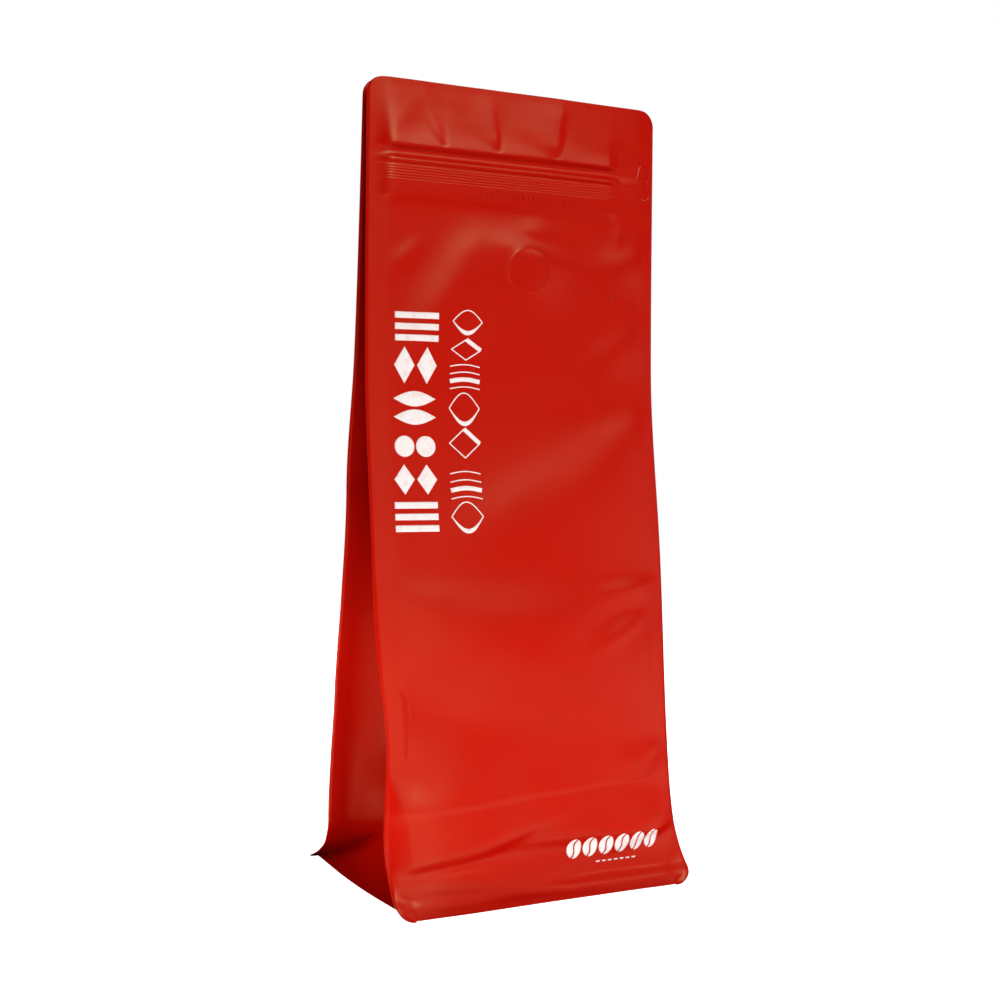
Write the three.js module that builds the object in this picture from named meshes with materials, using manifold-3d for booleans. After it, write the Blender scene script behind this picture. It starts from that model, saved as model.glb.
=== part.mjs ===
// A stand-up zip pouch for a kilogram of beans: matt laminated film with a flat base, a folded gusset down each
// side, welded fins along its four upright seams, a press zip under the header and a round degassing valve behind
// the front film. The pouch is empty and shut, and stands with its base pulled open. It is one closed solid,
// lofted from level sections. Millimetres, Z up, front face towards -Y, origin under the middle of the box.
import * as THREE from 'three';
import { mergeVertices } from 'three/addons/utils/BufferGeometryUtils.js';
import Module from 'manifold-3d';

// Flat sizes of the pouch
const HEIGHT = 345;
const WIDTH = 140;
const GUSSET = 95; // width of a side gusset laid flat, and so the depth of the base panel
const FIN = 8.5; // width of the weld along each upright seam
const FILM = 1; // thickness at which two welded films are drawn
const TOP_CORNER = 7; // radius
const FOOT_CORNER = 8; // radius

// Where the upright seams stand: [height, distance behind the middle of the base]. The front leans back a little
// and the back sweeps in over the open base, so the flat top stands over the front of the pouch.
const FRONT_SEAM = [
  [0, -60],
  [4, -58.6],
  [9, -54],
  [16, -49.8],
  [26, -46.4],
  [60, -42],
  [140, -36.6],
  [228, -28.6],
  [HEIGHT, -30.3],
];
const BACK_SEAM = [
  [0, 59.5],
  [3.5, 49],
  [7, 38.5],
  [10, 32],
  [16, 23.5],
  [26, 18.8],
  [56, 18.2],
  [80, 14],
  [125, 0.6],
  [168, -6.2],
  [178, -6.6],
  [228, -15.4],
  [286, -21.4],
  [HEIGHT, -26],
];

// Slack in the film
// How far a front fin's edge lies behind its weld line, at the foot and above the height where it settles
const FIN_SWEEP = { foot: -2.5, above: 1.4, settles: 30 };
const FRONT_BULGE = { depth: 4.5, height: 85, spread: 70 };
const BACK_BULGE = { depth: 6, height: 80, spread: 75 };
const BULGE_STARTS = 40; // height by which the films are free of the foot
const LEFT_PINCH = { depth: 4.4, height: 68, spread: 33 }; // the left seams draw in above the base
const BASE_EDGE_BOW = 2.4; // how far the middle of the left base edge bows out
const FOOT_SHIFT = { depth: 1.8, height: 0, spread: 22 }; // the foot stands this far to the right

// The gusset's fold splits above the base into two creases, which leave a sloping flap down to the base's edge
const APEX = { height: 36, depth: 29, y: -3 };
const APEX_BLEND = 20; // height over which the leaves take up their full width above the apex
const FOLD_SETTLES = 95; // height above which the fold runs midway between the seams

// The header and zip. Ridges are [height, how far it stands out, half width]
const ZIP_RIDGES = [
  [317.5, 1.1, 1.5],
  [311.8, 1.2, 1.3],
  [306.6, 0.7, 0.9],
  [303.6, 0.6, 0.8],
];
const ZIP_LENGTH = 116;
const TOP_WELD = 1.6; // thickness of the shut top
const SHUTS_FROM = 285; // height above which the back film closes on the front film
const HEADER_DENTS = [-31, -2, 27]; // sideways places
const DENT = { height: 326, depth: 1.3, width: 7, reach: 9 };

// The crease pressed across the front and back by the folded base, and the edge of the foot's weld
const BASE_CREASE = { left: 42, right: 48, depth: 0.9, spread: 5 };

// The ring that the valve presses into the film
const VALVE = { x: 2, z: 268, radius: 10, width: 0.9, rise: 0.5, root: 1 };

// Mesh steps
const FRONT_STEPS = 30;
const BACK_STEPS = 18;
const LEAF_STEPS = [0.25, 0.5, 0.75, 1]; // parts of the way from a seam to the crease
const RING_STEPS = 32;
const RING_PROFILE_STEPS = 3;
const SHORTEST_EDGE = 0.001;
const NEAREST_CREASE = 0.06; // parts of the way to the fold between which a crease's vertices stay
const FURTHEST_CREASE = 0.97;
const MOST_SLANT = 4; // limit on how far a level cut thickens a film that lies nearly flat
// Levels of the loft: [height, step up to the next height]
const LEVELS = [
  [0, 1.75],
  [7, 2.5],
  [12, 4],
  [36, 5],
  [56, 11],
  [166, 6],
  [178, 12],
  [298, 2],
  [302, 0.9],
  [308, 1.1],
  [320, 3.5],
  [334, 4],
  [338, 1.75],
  [HEIGHT, 0],
];

const { clamp, lerp, mapLinear, smoothstep } = THREE.MathUtils;

const seam = WIDTH / 2 - FIN;

// A curve through [height, value] stations that doesn't overshoot between them
function through(stations) {
  const slopes = stations.slice(1).map(([z, v], i) => (v - stations[i][1]) / (z - stations[i][0]));
  const tangents = stations.map((_, i) => {
    if (i === 0) return slopes[0];
    if (i === slopes.length) return slopes[i - 1];
    const [before, after] = [slopes[i - 1], slopes[i]];
    return before * after <= 0 ? 0 : (2 * before * after) / (before + after);
  });
  return (z) => {
    let i = 0;
    while (i < slopes.length - 1 && z > stations[i + 1][0]) i++;
    const [z0, v0] = stations[i];
    const [z1, v1] = stations[i + 1];
    const step = z1 - z0;
    const t = clamp((z - z0) / step, 0, 1);
    const left = v0 * (1 + 2 * t) * (1 - t) ** 2 + tangents[i] * step * t * (1 - t) ** 2;
    return left + v1 * t * t * (3 - 2 * t) + tangents[i + 1] * step * t * t * (t - 1);
  };
}

const frontSeam = through(FRONT_SEAM);
const backSeam = through(BACK_SEAM);
const bell = (distance, spread) => Math.exp(-((distance / spread) ** 2));
const hump = (z, { depth, height, spread }) => depth * bell(z - height, spread);

const finSweep = (z) => lerp(FIN_SWEEP.foot, FIN_SWEEP.above, smoothstep(z, 0, FIN_SWEEP.settles));
const bulge = (z, u, size) => hump(z, size) * (1 - u * u) * smoothstep(z, 0, BULGE_STARTS);

// How far a fin reaches past the seam: its corners are round at the top and at the foot
function finReach(z) {
  const fromTop = Math.max(0, TOP_CORNER - (HEIGHT - z));
  const fromFoot = Math.max(0, FOOT_CORNER - z);
  const topCut = TOP_CORNER - Math.sqrt(TOP_CORNER ** 2 - fromTop ** 2);
  const footCut = FOOT_CORNER - Math.sqrt(FOOT_CORNER ** 2 - fromFoot ** 2);
  return FIN - topCut - footCut;
}

// The relief of the zip, which runs across both faces
function zipRelief(x, z) {
  const fade = smoothstep(ZIP_LENGTH / 2 - Math.abs(x), 0, 3);
  return fade * ZIP_RIDGES.reduce((sum, [height, rise, half]) => sum + rise * bell(z - height, half), 0);
}

// The slack dents above the zip: each is a V with its point on the zip
function headerDents(x, z) {
  const up = (z - DENT.height) / DENT.reach;
  const width = DENT.width * (1 + Math.max(0, up));
  return HEADER_DENTS.reduce((sum, place) => sum + DENT.depth * bell(x - place, width) * bell(up, 1), 0);
}

function baseCrease(x, z) {
  const height = mapLinear(x, -WIDTH / 2, WIDTH / 2, BASE_CREASE.left, BASE_CREASE.right);
  return BASE_CREASE.depth * bell(z - height, BASE_CREASE.spread);
}

// The front film, whose own width runs from one seam to the other
function frontFilm(x, z) {
  const u = x / seam;
  const relief = zipRelief(x, z) - headerDents(x, z) - baseCrease(x, z) * (1 - u ** 8);
  return frontSeam(z) - finSweep(z) - bulge(z, u, FRONT_BULGE) - relief;
}

// The back film, which closes on the front film towards the middle of the top
function backFilm(x, z) {
  const u = x / seam;
  const gap = backSeam(z) - frontSeam(z) + finSweep(z);
  const shut = smoothstep(z, SHUTS_FROM, HEIGHT) * (gap - TOP_WELD) * (1 - Math.abs(u));
  return backSeam(z) - shut + bulge(z, u, BACK_BULGE) + zipRelief(x, z) - baseCrease(x, z) * (1 - u ** 8);
}

// The outline of one side between its seams, from front to back. `side` is -1 on the left and 1 on the right.
// Each leaf runs straight in to the fold, or below the apex to the crease where it meets the flap.
function gusset(side, edge, front, back, z) {
  const leaf = Math.sqrt((GUSSET / 2) ** 2 - Math.min(GUSSET / 2, (back - front) / 2) ** 2);
  const opening = lerp(APEX.depth, leaf, smoothstep(z, APEX.height, APEX.height + APEX_BLEND));
  const flap = (APEX.depth * z) / APEX.height;
  const depth = Math.min(opening, flap);
  const foldX = side * (edge - depth);
  const middle = (frontFilm(foldX, z) + backFilm(foldX, z)) / 2;
  const low = (APEX.y * Math.min(z, APEX.height)) / APEX.height;
  const fold = lerp(low, middle, smoothstep(z, APEX.height, FOLD_SETTLES));
  const crease = clamp(flap / opening, NEAREST_CREASE, FURTHEST_CREASE);
  const bow = BASE_EDGE_BOW * Math.max(0, 1 - z / APEX.height);
  const point = (part, from) => {
    const inward = Math.min(part * opening, depth);
    return new THREE.Vector2(side * (edge - inward), lerp(from, fold, part));
  };
  const parts = LEAF_STEPS.map((part) => part * crease);
  const inner = new THREE.Vector2(side * (edge - depth + (side < 0 ? bow : 0)), fold);
  const leafOf = (from) => parts.map((part) => point(part, from));
  return [...leafOf(front), inner, ...leafOf(back).reverse()];
}

// How much a film that leans outwards is stretched in a level section
function slant(line, z) {
  const below = Math.max(0, z - 0.5);
  return Math.min(MOST_SLANT, Math.hypot(1, (line(z + 0.5) - line(below)) / (z + 0.5 - below)));
}

// One level section, anticlockwise from above, starting at the edge of the front left fin
function section(z) {
  const reach = finReach(z);
  const pinch = hump(z, LEFT_PINCH);
  const shift = hump(z, FOOT_SHIFT);
  const frontLeft = -seam + pinch + shift;
  const backLeft = -seam + pinch / 2 + shift;
  const right = seam + shift;
  const front = frontSeam(z);
  const back = backSeam(z);
  const frontInner = front - finSweep(z) + FILM * slant(frontSeam, z);
  const backInner = back - FILM * slant(backSeam, z);
  const across = (from, to, steps, film) =>
    Array.from({ length: steps + 1 }, (_, i) => {
      const x = lerp(from, to, i / steps);
      return new THREE.Vector2(x, film(x, z));
    });
  return [
    new THREE.Vector2(frontLeft - reach, front),
    ...across(frontLeft, right, FRONT_STEPS, frontFilm),
    new THREE.Vector2(right + reach, front),
    new THREE.Vector2(right + reach, frontInner + finSweep(z)),
    new THREE.Vector2(right, frontInner),
    ...gusset(1, right, frontInner, backInner, z),
    new THREE.Vector2(right, backInner),
    new THREE.Vector2(right + reach, backInner),
    new THREE.Vector2(right + reach, back),
    ...across(right, backLeft, BACK_STEPS, backFilm),
    new THREE.Vector2(backLeft - reach, back),
    new THREE.Vector2(backLeft - reach, backInner),
    new THREE.Vector2(backLeft, backInner),
    ...gusset(-1, (-frontLeft - backLeft) / 2, frontInner, backInner, z).reverse(),
    new THREE.Vector2(frontLeft, frontInner),
    new THREE.Vector2(frontLeft - reach, frontInner + finSweep(z)),
  ];
}

// Heights of the sections: close together where the outline turns quickly
function levels() {
  const heights = [];
  for (let i = 0; i < LEVELS.length - 1; i++) {
    const [from, step] = LEVELS[i];
    const [to] = LEVELS[i + 1];
    const count = Math.round((to - from) / step);
    for (let k = 0; k < count; k++) heights.push(lerp(from, to, k / count));
  }
  return [...heights, HEIGHT];
}

// The closed solid through all sections, with a flat cap at the floor and at the top edge
function loft(heights) {
  const sections = heights.map(section);
  const count = sections[0].length;
  const vertices = sections.flatMap((points, row) => points.flatMap((p) => [p.x, p.y, heights[row]]));
  const faces = [];
  for (let row = 0; row < heights.length - 1; row++) {
    for (let i = 0; i < count; i++) {
      const a = row * count + i;
      const b = row * count + ((i + 1) % count);
      faces.push(a, b, b + count, a, b + count, a + count);
    }
  }
  const top = (heights.length - 1) * count;
  for (const [a, b, c] of THREE.ShapeUtils.triangulateShape(sections[0], [])) {
    faces.push(c, b, a);
  }
  for (const [a, b, c] of THREE.ShapeUtils.triangulateShape(sections.at(-1), [])) {
    faces.push(top + a, top + b, top + c);
  }
  const geometry = new THREE.BufferGeometry();
  geometry.setAttribute('position', new THREE.Float32BufferAttribute(vertices, 3));
  geometry.setIndex(faces);
  return geometry;
}

// The rounded ring that the valve's rim presses up, laid against the front film
function valveRing() {
  const profile = [];
  for (let i = 0; i <= RING_PROFILE_STEPS; i++) {
    const turn = (Math.PI * i) / RING_PROFILE_STEPS;
    profile.push(new THREE.Vector2(VALVE.radius + VALVE.width * Math.cos(turn), VALVE.rise * Math.sin(turn)));
  }
  profile.push(new THREE.Vector2(VALVE.radius - VALVE.width, -VALVE.root));
  profile.push(new THREE.Vector2(VALVE.radius + VALVE.width, -VALVE.root));
  profile.push(profile[0].clone());
  const ring = new THREE.LatheGeometry(profile.reverse(), RING_STEPS);
  ring.rotateX(Math.PI);
  ring.translate(VALVE.x, frontFilm(VALVE.x, VALVE.z), VALVE.z);
  return ring;
}

const wasm = await Module();
wasm.setup();

// The geometry with vertices nearer than `tolerance` made one, and without the triangles that this shuts
function welded(geometry, tolerance) {
  const bare = geometry.clone();
  bare.deleteAttribute('normal');
  bare.deleteAttribute('uv');
  const merged = mergeVertices(bare, tolerance);
  const old = merged.index.array;
  const kept = [];
  for (let i = 0; i < old.length; i += 3) {
    const [a, b, c] = [old[i], old[i + 1], old[i + 2]];
    if (a !== b && b !== c && c !== a) kept.push(a, b, c);
  }
  merged.setIndex(kept);
  return merged;
}

function solid(geometry) {
  const merged = welded(geometry, 1e-4);
  const mesh = new wasm.Mesh({
    numProp: 3,
    vertProperties: new Float32Array(merged.attributes.position.array),
    triVerts: new Uint32Array(merged.index.array),
  });
  return new wasm.Manifold(mesh);
}

function pouch() {
  const { vertProperties, triVerts } = solid(loft(levels())).add(solid(valveRing())).getMesh();
  const geometry = new THREE.BufferGeometry();
  geometry.setAttribute('position', new THREE.Float32BufferAttribute(vertProperties, 3));
  geometry.setIndex(Array.from(triVerts));
  const clean = welded(geometry, SHORTEST_EDGE);
  clean.computeBoundingBox();
  const { min, max } = clean.boundingBox;
  clean.translate(-(min.x + max.x) / 2, -(min.y + max.y) / 2, 0);
  clean.computeVertexNormals();
  const film = new THREE.MeshStandardMaterial({ color: '#c4230a', roughness: 0.5, metalness: 0 });
  const mesh = new THREE.Mesh(clean, film);
  mesh.name = 'pouch';
  return mesh;
}

const model = new THREE.Group();
model.add(pouch());
export default model;
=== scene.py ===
"""A flat-bottom zip pouch of matt printed film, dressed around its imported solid.

The pouch is welded from five films: front, back, a folded gusset down each side, and a base. Each is its own
sheet with the laminate's thickness. Sizes are in millimetres until a mesh is made, and are measured from the
middle of the base: x runs across the front, y away from it and z up from the surface under the pouch.
"""

import math

import bpy
import numpy as np
from bpy.props import FloatProperty, FloatVectorProperty, PointerProperty
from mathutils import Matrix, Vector
from mathutils.geometry import delaunay_2d_cdt


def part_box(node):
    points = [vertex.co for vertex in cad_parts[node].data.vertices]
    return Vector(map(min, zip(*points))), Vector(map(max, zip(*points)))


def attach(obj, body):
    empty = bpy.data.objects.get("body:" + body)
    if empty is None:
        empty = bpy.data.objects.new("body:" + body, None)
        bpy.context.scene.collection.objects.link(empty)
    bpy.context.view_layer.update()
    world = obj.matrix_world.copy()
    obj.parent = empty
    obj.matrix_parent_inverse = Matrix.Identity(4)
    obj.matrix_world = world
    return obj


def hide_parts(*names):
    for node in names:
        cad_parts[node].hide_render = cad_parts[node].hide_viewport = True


bl_info = {
    "name": "Flat-bottom zip pouch",
    "version": (1, 0, 0),
    "blender": (4, 5, 0),
    "location": "3D View > Sidebar > Pouch",
    "description": "Builds a standing zip pouch of matt laminate and the studio that shows it",
    "category": "Object",
}

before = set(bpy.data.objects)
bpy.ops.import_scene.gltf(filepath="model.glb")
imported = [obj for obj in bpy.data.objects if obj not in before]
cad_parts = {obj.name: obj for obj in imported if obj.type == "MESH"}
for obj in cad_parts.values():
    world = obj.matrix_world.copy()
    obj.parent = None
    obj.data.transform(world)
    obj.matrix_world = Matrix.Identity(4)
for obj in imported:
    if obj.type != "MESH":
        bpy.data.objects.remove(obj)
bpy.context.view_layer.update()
POUCH_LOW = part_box("pouch")[0]
MM = 0.001

# ---------------------------------------------------------------- the cut and folded pouch

HEIGHT = 345.0
WIDTH = 140.0
GUSSET = 95.0  # width of a side gusset laid flat
FIN = 8.5  # width of the weld along each upright seam
SEAM = WIDTH / 2 - FIN
FOOT_OUT = 60.0  # from the middle of the base to the foot of the front fins
TOP_CORNER = 7.0
FOOT_CORNER = 8.0
ORIGIN = np.array([POUCH_LOW[0] / MM + WIDTH / 2, POUCH_LOW[1] / MM + FOOT_OUT, 0])

# Where the upright seams stand: (height, distance behind the middle of the base)
FRONT_SEAM = (
    (0, -60),
    (4, -58.6),
    (9, -54),
    (16, -49.8),
    (26, -46.4),
    (60, -42),
    (140, -36.6),
    (228, -28.6),
    (345, -30.3),
)
BACK_SEAM = (
    (0, 59.5),
    (3.5, 49),
    (7, 38.5),
    (10, 32),
    (16, 23.5),
    (26, 18.8),
    (56, 18.2),
    (80, 14),
    (125, 0.6),
    (168, -6.2),
    (178, -6.6),
    (228, -15.4),
    (286, -21.4),
    (345, -26),
)
FIN_SWEEP_FOOT, FIN_SWEEP_ABOVE, FIN_SWEEP_SETTLES = -2.5, 1.4, 30.0
LEFT_PINCH = (4.4, 68, 33)  # depth, height and spread of the place where the left seams draw in
FOOT_SHIFT = (1.8, 0, 22)
FRONT_BULGE = (4.5, 85, 70)
BACK_BULGE = (6.0, 80, 75)
BULGE_STARTS = 40.0
SHUTS_FROM = 285.0
SHUT_MIDDLE = 0.2  # part of the half width over which the two films touch at the top

# The gusset's fold splits above the base into two creases round a sloping flap
APEX_HEIGHT, APEX_DEPTH, APEX_Y, APEX_BLEND = 36.0, 29.0, -3.0, 20.0
FOLD_SETTLES = 95.0
BASE_EDGE_BOW = 2.4
NEAREST_CREASE, FURTHEST_CREASE = 0.03, 0.97
LEAF_CURVE = 1.5  # a leaf leaves its weld in line with the fin and bends away; 1 would be straight
# Near the floor a slanting weld holds the leaf against its face, so the crease starts at the fin:
# its foot, its top, the least share of the leaf that it leaves free, and how that share grows
CORNER_WELD = (9.0, 18.5, 0.06, 1.5)
LEAF_CROWDING = 0.8  # below 1, the leaf's points crowd towards its crease
BEHIND_FACE = 1.1  # how far a gusset's fins stand behind a face's, in film thicknesses

# The base film: how far its ends stay inside the foot welds, in front and behind
BASE_INSET = (3.2, 1.2)
BASE_FOOT, BASE_LIFT, BASE_LIFT_WIDTH = 0.35, 1.6, 5.0  # its height at the weld, and its rise away from it
BASE_FOLD_RISE, BASE_FOLD_WIDE, BASE_FOLD_FADES = 1.2, 2.2, 8.0

# Across the zip: (height, how far the film stands out). Going up, there are the flange, the fine ribs,
# the strong rib, a groove and the header's ledge
ZIP_PROFILE = (
    (284, 0),
    (290, 0),
    (293, 0.1),
    (296.6, 1.5),
    (299, 1.65),
    (302.3, 1.7),
    (308.6, 1.7),
    (309.4, 1.3),
    (310.1, 2.2),
    (310.6, 2.45),
    (311.3, 2.3),
    (313.2, 0.9),
    (314.2, 0.55),
    (315.7, 0.6),
    (316.4, 1.4),
    (316.9, 2.4),
    (317.4, 2.75),
    (318.4, 2.6),
    (320, 2.25),
    (323, 1.6),
    (328, 0.85),
    (335, 0.25),
    (342, 0),
)
RIB_FOOT, RIB_TOP, RIB_PITCH, RIB_RISE = 302.6, 308.4, 1.16, 0.16
ZIP_LEFT, ZIP_RIGHT = -60.5, 52.5
ZIP_FADES_LEFT, ZIP_FADES_RIGHT, ZIP_IN_FIN = (-7, 3), 8, 0.1  # the relief that is left past the zip's ends
FIN_FLAT = 0.3  # share of a fin's width, from its edge, that the zip's relief doesn't reach
SHUT_APART = 1.0  # between the outer faces where the two films touch
BACK_CALMS_FROM = 330.0  # above this the back film's relief fades out

# ---------------------------------------------------------------- relief of the films

# Soft ridges and hollows in the front film, each placed to catch or lose the high light as the real folds do:
# (x, height, half length, width above, width below, turn in degrees, rise)
FRONT_SLACK = (
    # small puckers under the zip
    (8, 286, 7, 6, 3, -5, 0.6),
    (-53, 271, 9, 4, 4, 41, 0.8),
    (54, 273, 16, 9, 10, 10, 2.2),
    (51, 287, 5, 3, 3, 78, 0.5),
    # the shoulder that runs up from the left and on above the valve
    (-2, 278, 25, 10, 26, 13, 1.7),
    (-35, 253, 34, 11, 22, 57, 2.7),
    (10, 273, 16, 6, 19, -12, 2.7),
    # long soft waves across the middle
    (48, 233, 21, 9, 12, 32, 1.7),
    (34, 213, 20, 7, 6, 5, 0.7),
    (37, 177, 40, 17, 27, 38, 2.5),
    (58, 197, 17, 11, 18, 11, 1.5),
    (-5, 164, 36, 14, 20, 33, 1.6),
    (-3, 116, 56, 18, 24, 0, 3.3),
    (-53, 127, 20, 8, 10, -4, 1),
    (53, 129, 18, 4, 6, 6, 2.2),
    (49, 111, 20, 6, 11, 26, 2.6),
    (17, 100, 38, 19, 14, -11, 2.3),
    (-43, 103, 29, 17, 12, 8, 1.4),
    # beside the right fin
    (61, 56, 13, 5, 6, 5, 2.5),
    (61, 25, 28, 10, 3, 13, 2.6),
    (63, 6, 8, 3, 12, -93, 1.2),
    # the foot, under and over the base's crease
    (27, 25, 41, 11, 3.5, 0, 2.2),
    (-59, 59, 9, 12, 15, 38, -2.2),
    (-40, 69, 32, 17, 18, -39, -0.6),
    (-25, 41, 20, 10, 15, -42, 0.9),
    (-24, 26, 32, 11, 4, 16, 2.4),
    (-49, 18, 19, 3.2, 3.3, 8, -2.3),
    (-60, 5, 16, 4.5, 4.7, -16, -1.2),
    (-28, 13, 26, 5.6, 6.5, -6, 1.9),
    (-11, 8, 36, 9, 3.5, -4, 2.2),
    (12, 8, 13, 3, 3, 2, -1.0),
    (42, 9, 26, 3, 3, -2, -1.0),
    (2, 66, 42, 12, 19, -12, -1.8),
    (-48, 82, 30, 14, 20, 20, -2.4),
    (-64, 42, 5, 16, 3.5, 18, 2.6),
    (41, 46, 32, 8, 5.5, -10, -1.5),
    # the header over the zip
    (-57, 328, 15, 16, 6, 54, 0.8),
    (-31, 338, 9, 6, 6, -45, 0.4),
    (-32, 328, 8, 11, 14, 81, 0.4),
    (-12, 337, 11, 11, 9, 76, 0.3),
    (1, 330, 12, 11, 13, 109, 0.8),
    (15, 323, 11, 10, 13, 10, 0.6),
    (21, 338, 19, 12, 10, -20, 0.6),
    (49, 320, 16, 6, 8, 0, -0.8),
)
# Over each foot the film bellies out inside an arc:
# (middle, half width to the right, to the left and upwards, spread below, rise)
BELLIES = (((-52, 24), 54, 70, 58, 18, 8.0), ((46, 24), 60, 58, 44, 16, 3.0))
BELLY_EDGE, BELLY_TOP = 0.07, 0.15  # how softly it starts at the arc and how blunt it is in the middle

# The same for the back film, which hangs slacker
BACK_SLACK = (
    (-30, 266, 26, 12, 6, 50, 1.6),
    (14, 276, 18, 8, 4, -30, 1.4),
    (36, 232, 30, 12, 8, 60, -1.2),
    (-20, 214, 34, 13, 8, -24, 1.6),
    (20, 164, 40, 12, 12, 18, -1.2),
    (-34, 140, 24, 10, 6, 30, 1.6),
    (30, 110, 26, 12, 7, -36, 1.6),
    (-16, 84, 30, 10, 10, 12, -1.0),
    (-40, 40, 16, 8, 4, -12, 1.0),
    (34, 34, 18, 8, 4, 16, 1.0),
    (4, 20, 22, 4, 4, 4, -0.6),
)

# Pleats that rise from points on the zip's ledge into the header: (x at the ledge, lean, width, rise)
PLEATS = ((-36.3, -0.38, 6.0, 0.5), (-11.0, -0.15, 9.0, 0.8), (17.4, 0.15, 14.0, 1.1))
PLEAT_FOOT, PLEAT_FULL, PLEAT_REACH = 317.8, 8.0, 24.0
PLEAT_NARROW, PLEAT_WIDENS = 0.35, 12.0  # share of its width at the point, and how high it has all of it
PLEAT_STEEP, PLEAT_SPREADS = 1.3, 0.06  # width of the steep side, and how much all widths grow with height
PLEAT_CALMS_FROM, PLEAT_CALMS = 334.0, 0.6  # towards the top weld a pleat loses this share of its rise
# Two hollows spread from each point: (lean against the pleat, depth)
PLEAT_LEGS = ((-0.45, 0.5), (0.35, 0.35))
LEG_APART, LEG_WIDE, LEG_FADES = 0.6, 0.9, 6.0

# The crease that the folded base pressed across the films: its height at the left and right seam, its step
# and the height of its tuck, and how far it is felt above and below
BASE_CREASE_LEFT, BASE_CREASE_RIGHT, BASE_CREASE_STEP = 41.5, 47.5, 0.8
BASE_CREASE_FALL, BASE_CREASE_ABOVE, BASE_CREASE_BELOW = 3.2, 9.0, 14.0
SEAM_PUFF = 0.2  # step from the flat weld to the free film
SEAM_PUFF_WIDTH, SLACK_STARTS = 1.6, 7.0

# The valve, welded behind the front film, shows as a ring with four vents inside it. Two more vents stand
# on their own to its right
VALVE_X, VALVE_Z = 4.3, 268.0
VALVE_RIM = 1.3  # radius of the embossed patch, in valve radii
VALVE_RINGS = ((0, 0.92, 8), (0.94, 1.06, 9), (1.1, VALVE_RIM, 4))  # its rings of points: from, to, how many
VALVE_LIFT, VALVE_DISH, VALVE_DISH_EDGE = 0.12, 0.1, (0.5, 0.9)
CLEAR = 0.02  # a piece laid on the film stands at least this far off it
VENTS = ((0.7, 273.7), (9.6, 272.5), (-0.9, 264.0), (7.9, 263.0), (48.1, 258.2), (46.6, 259.5))
VENT_RADIUS, VENT_SIDES = 0.42, 12
# From the pit of a vent outwards: (reach in vent radii, lift)
VENT_PROFILE = ((0, 0.02), (0.55, 0.05), (0.9, 0.24), (1.3, 0.28), (2.0, 0.02))
VENT_ON_PATCH = 0.16  # how much higher the vents inside the ring stand
VALVE_RIM_RISE, VALVE_RIM_WIDE, VALVE_SIDES = 0.2, 0.4, 120

# The cut that starts the tear: an outline of two joined lobes in the right weld, (x, z) from its bright end
TEAR_CUT = (
    (60.7, 313.6),
    (61.0, 315.0),
    (61.4, 317.0),
    (62.0, 318.9),
    (63.4, 319.8),
    (65.2, 319.3),
    (66.7, 317.7),
    (67.4, 315.8),
    (67.1, 314.0),
    (66.0, 312.4),
    (66.1, 310.8),
    (67.3, 309.0),
    (67.8, 307.0),
    (67.0, 305.1),
    (65.2, 304.2),
    (63.5, 304.8),
)
CUT_LIP, CUT_LIFT, CUT_STEPS = 0.5, 0.42, 6
# Across the lip: (place in half widths, share of the lift). Two of the strips between are the slit, painted
# dark as the shade inside the cut, and the pale edge beside it
CUT_PROFILE = (
    (-1, 0.02),
    (-0.55, 0.8),
    (-0.15, 1.0),
    (-0.08, 0.1),
    (0.12, 0.1),
    (0.2, 0.75),
    (0.6, 0.55),
    (1, 0.02),
)
SLIT_SHADE_STRIP, CUT_PALE = 3, 2

# ---------------------------------------------------------------- white print

# A column of bold shapes: (lowest and highest point of each), with what stands in it
BOLD_CELLS = (
    (235.4, 247.6, "slats"),
    (217.5, 233.0, "diamonds"),
    (199.6, 215.0, "leaves"),
    (185.0, 197.2, "discs"),
    (170.9, 183.5, "diamonds"),
    (155.4, 167.8, "slats"),
)
BOLD_LEFT, BOLD_WIDTH = -59.6, 19.2  # at the foot of the column
BOLD_LEAN = 0.026
# Beside it, a column of outlines drawn with one heavy side each
FINE_CELLS = (
    (239.8, 249.4, "leaf"),
    (228.3, 237.0, "diamond"),
    (215.9, 225.4, "strands"),
    (201.0, 214.2, "leaf"),
    (186.4, 198.8, "diamond"),
    (169.0, 179.6, "strands"),
    (155.4, 167.7, "leaf"),
)
FINE_LEFT, FINE_WIDTH = -34.4, 14.2
FINE_LEAN = 0.032
HAIRLINE, HEAVY_LINE = 0.5, 1.9
# Sizes inside a cell, as shares of its width or height
SLATS_AT, SLAT_HIGH = (0.11, 0.5, 0.89), 0.22
PAIR_AT, LEAF_HALF, DISC_HALF, DIAMOND_WIDE, STRAND_BOW = (0.25, 0.75), 0.21, (0.23, 0.46), 0.47, 0.1
# And a row of seeds over a line of dashes by the right foot, in a line that climbs a little
SEEDS, SEED_PITCH, SEED_HIGH, SEED_WIDE, SEED_TURN, SEED_SLIT = 6, 7.7, 8.4, 6.6, 24.0, 0.7
SEED_LEFT, SEED_FOOT, SEED_CLIMB = 16.4, 19.3, 0.018
DASHES, DASH_PITCH, DASH_LEFT, DASH_Z, DASH_LONG, DASH_WIDE = 7, 3.0, 26.9, 12.8, 1.8, 0.6
# The fine ticks that the sealing bar pressed beneath the zip's ribs
TICKS, TICK_LEFT, TICK_PITCH, TICK_FOOT, TICK_TOP, TICK_WIDE = 22, -18.0, 2.5, 298.6, 301.9, 0.7
PRINT_MESH = 1.3  # spacing of the points inside a printed shape
PRINT_LIFT, PRINT_THICKNESS, TICK_LIFT = 0.07, 0.05, 0.09

# ---------------------------------------------------------------- studio

# The camera, as it stood when the pouch was photographed
CAMERA_PLACE = np.array([-291.5, -596.0, 174.9])
CAMERA_YAW = 26.6
CAMERA_LENS, CAMERA_SENSOR, CAMERA_SHIFT = 52.56, 36.0, -0.015

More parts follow.
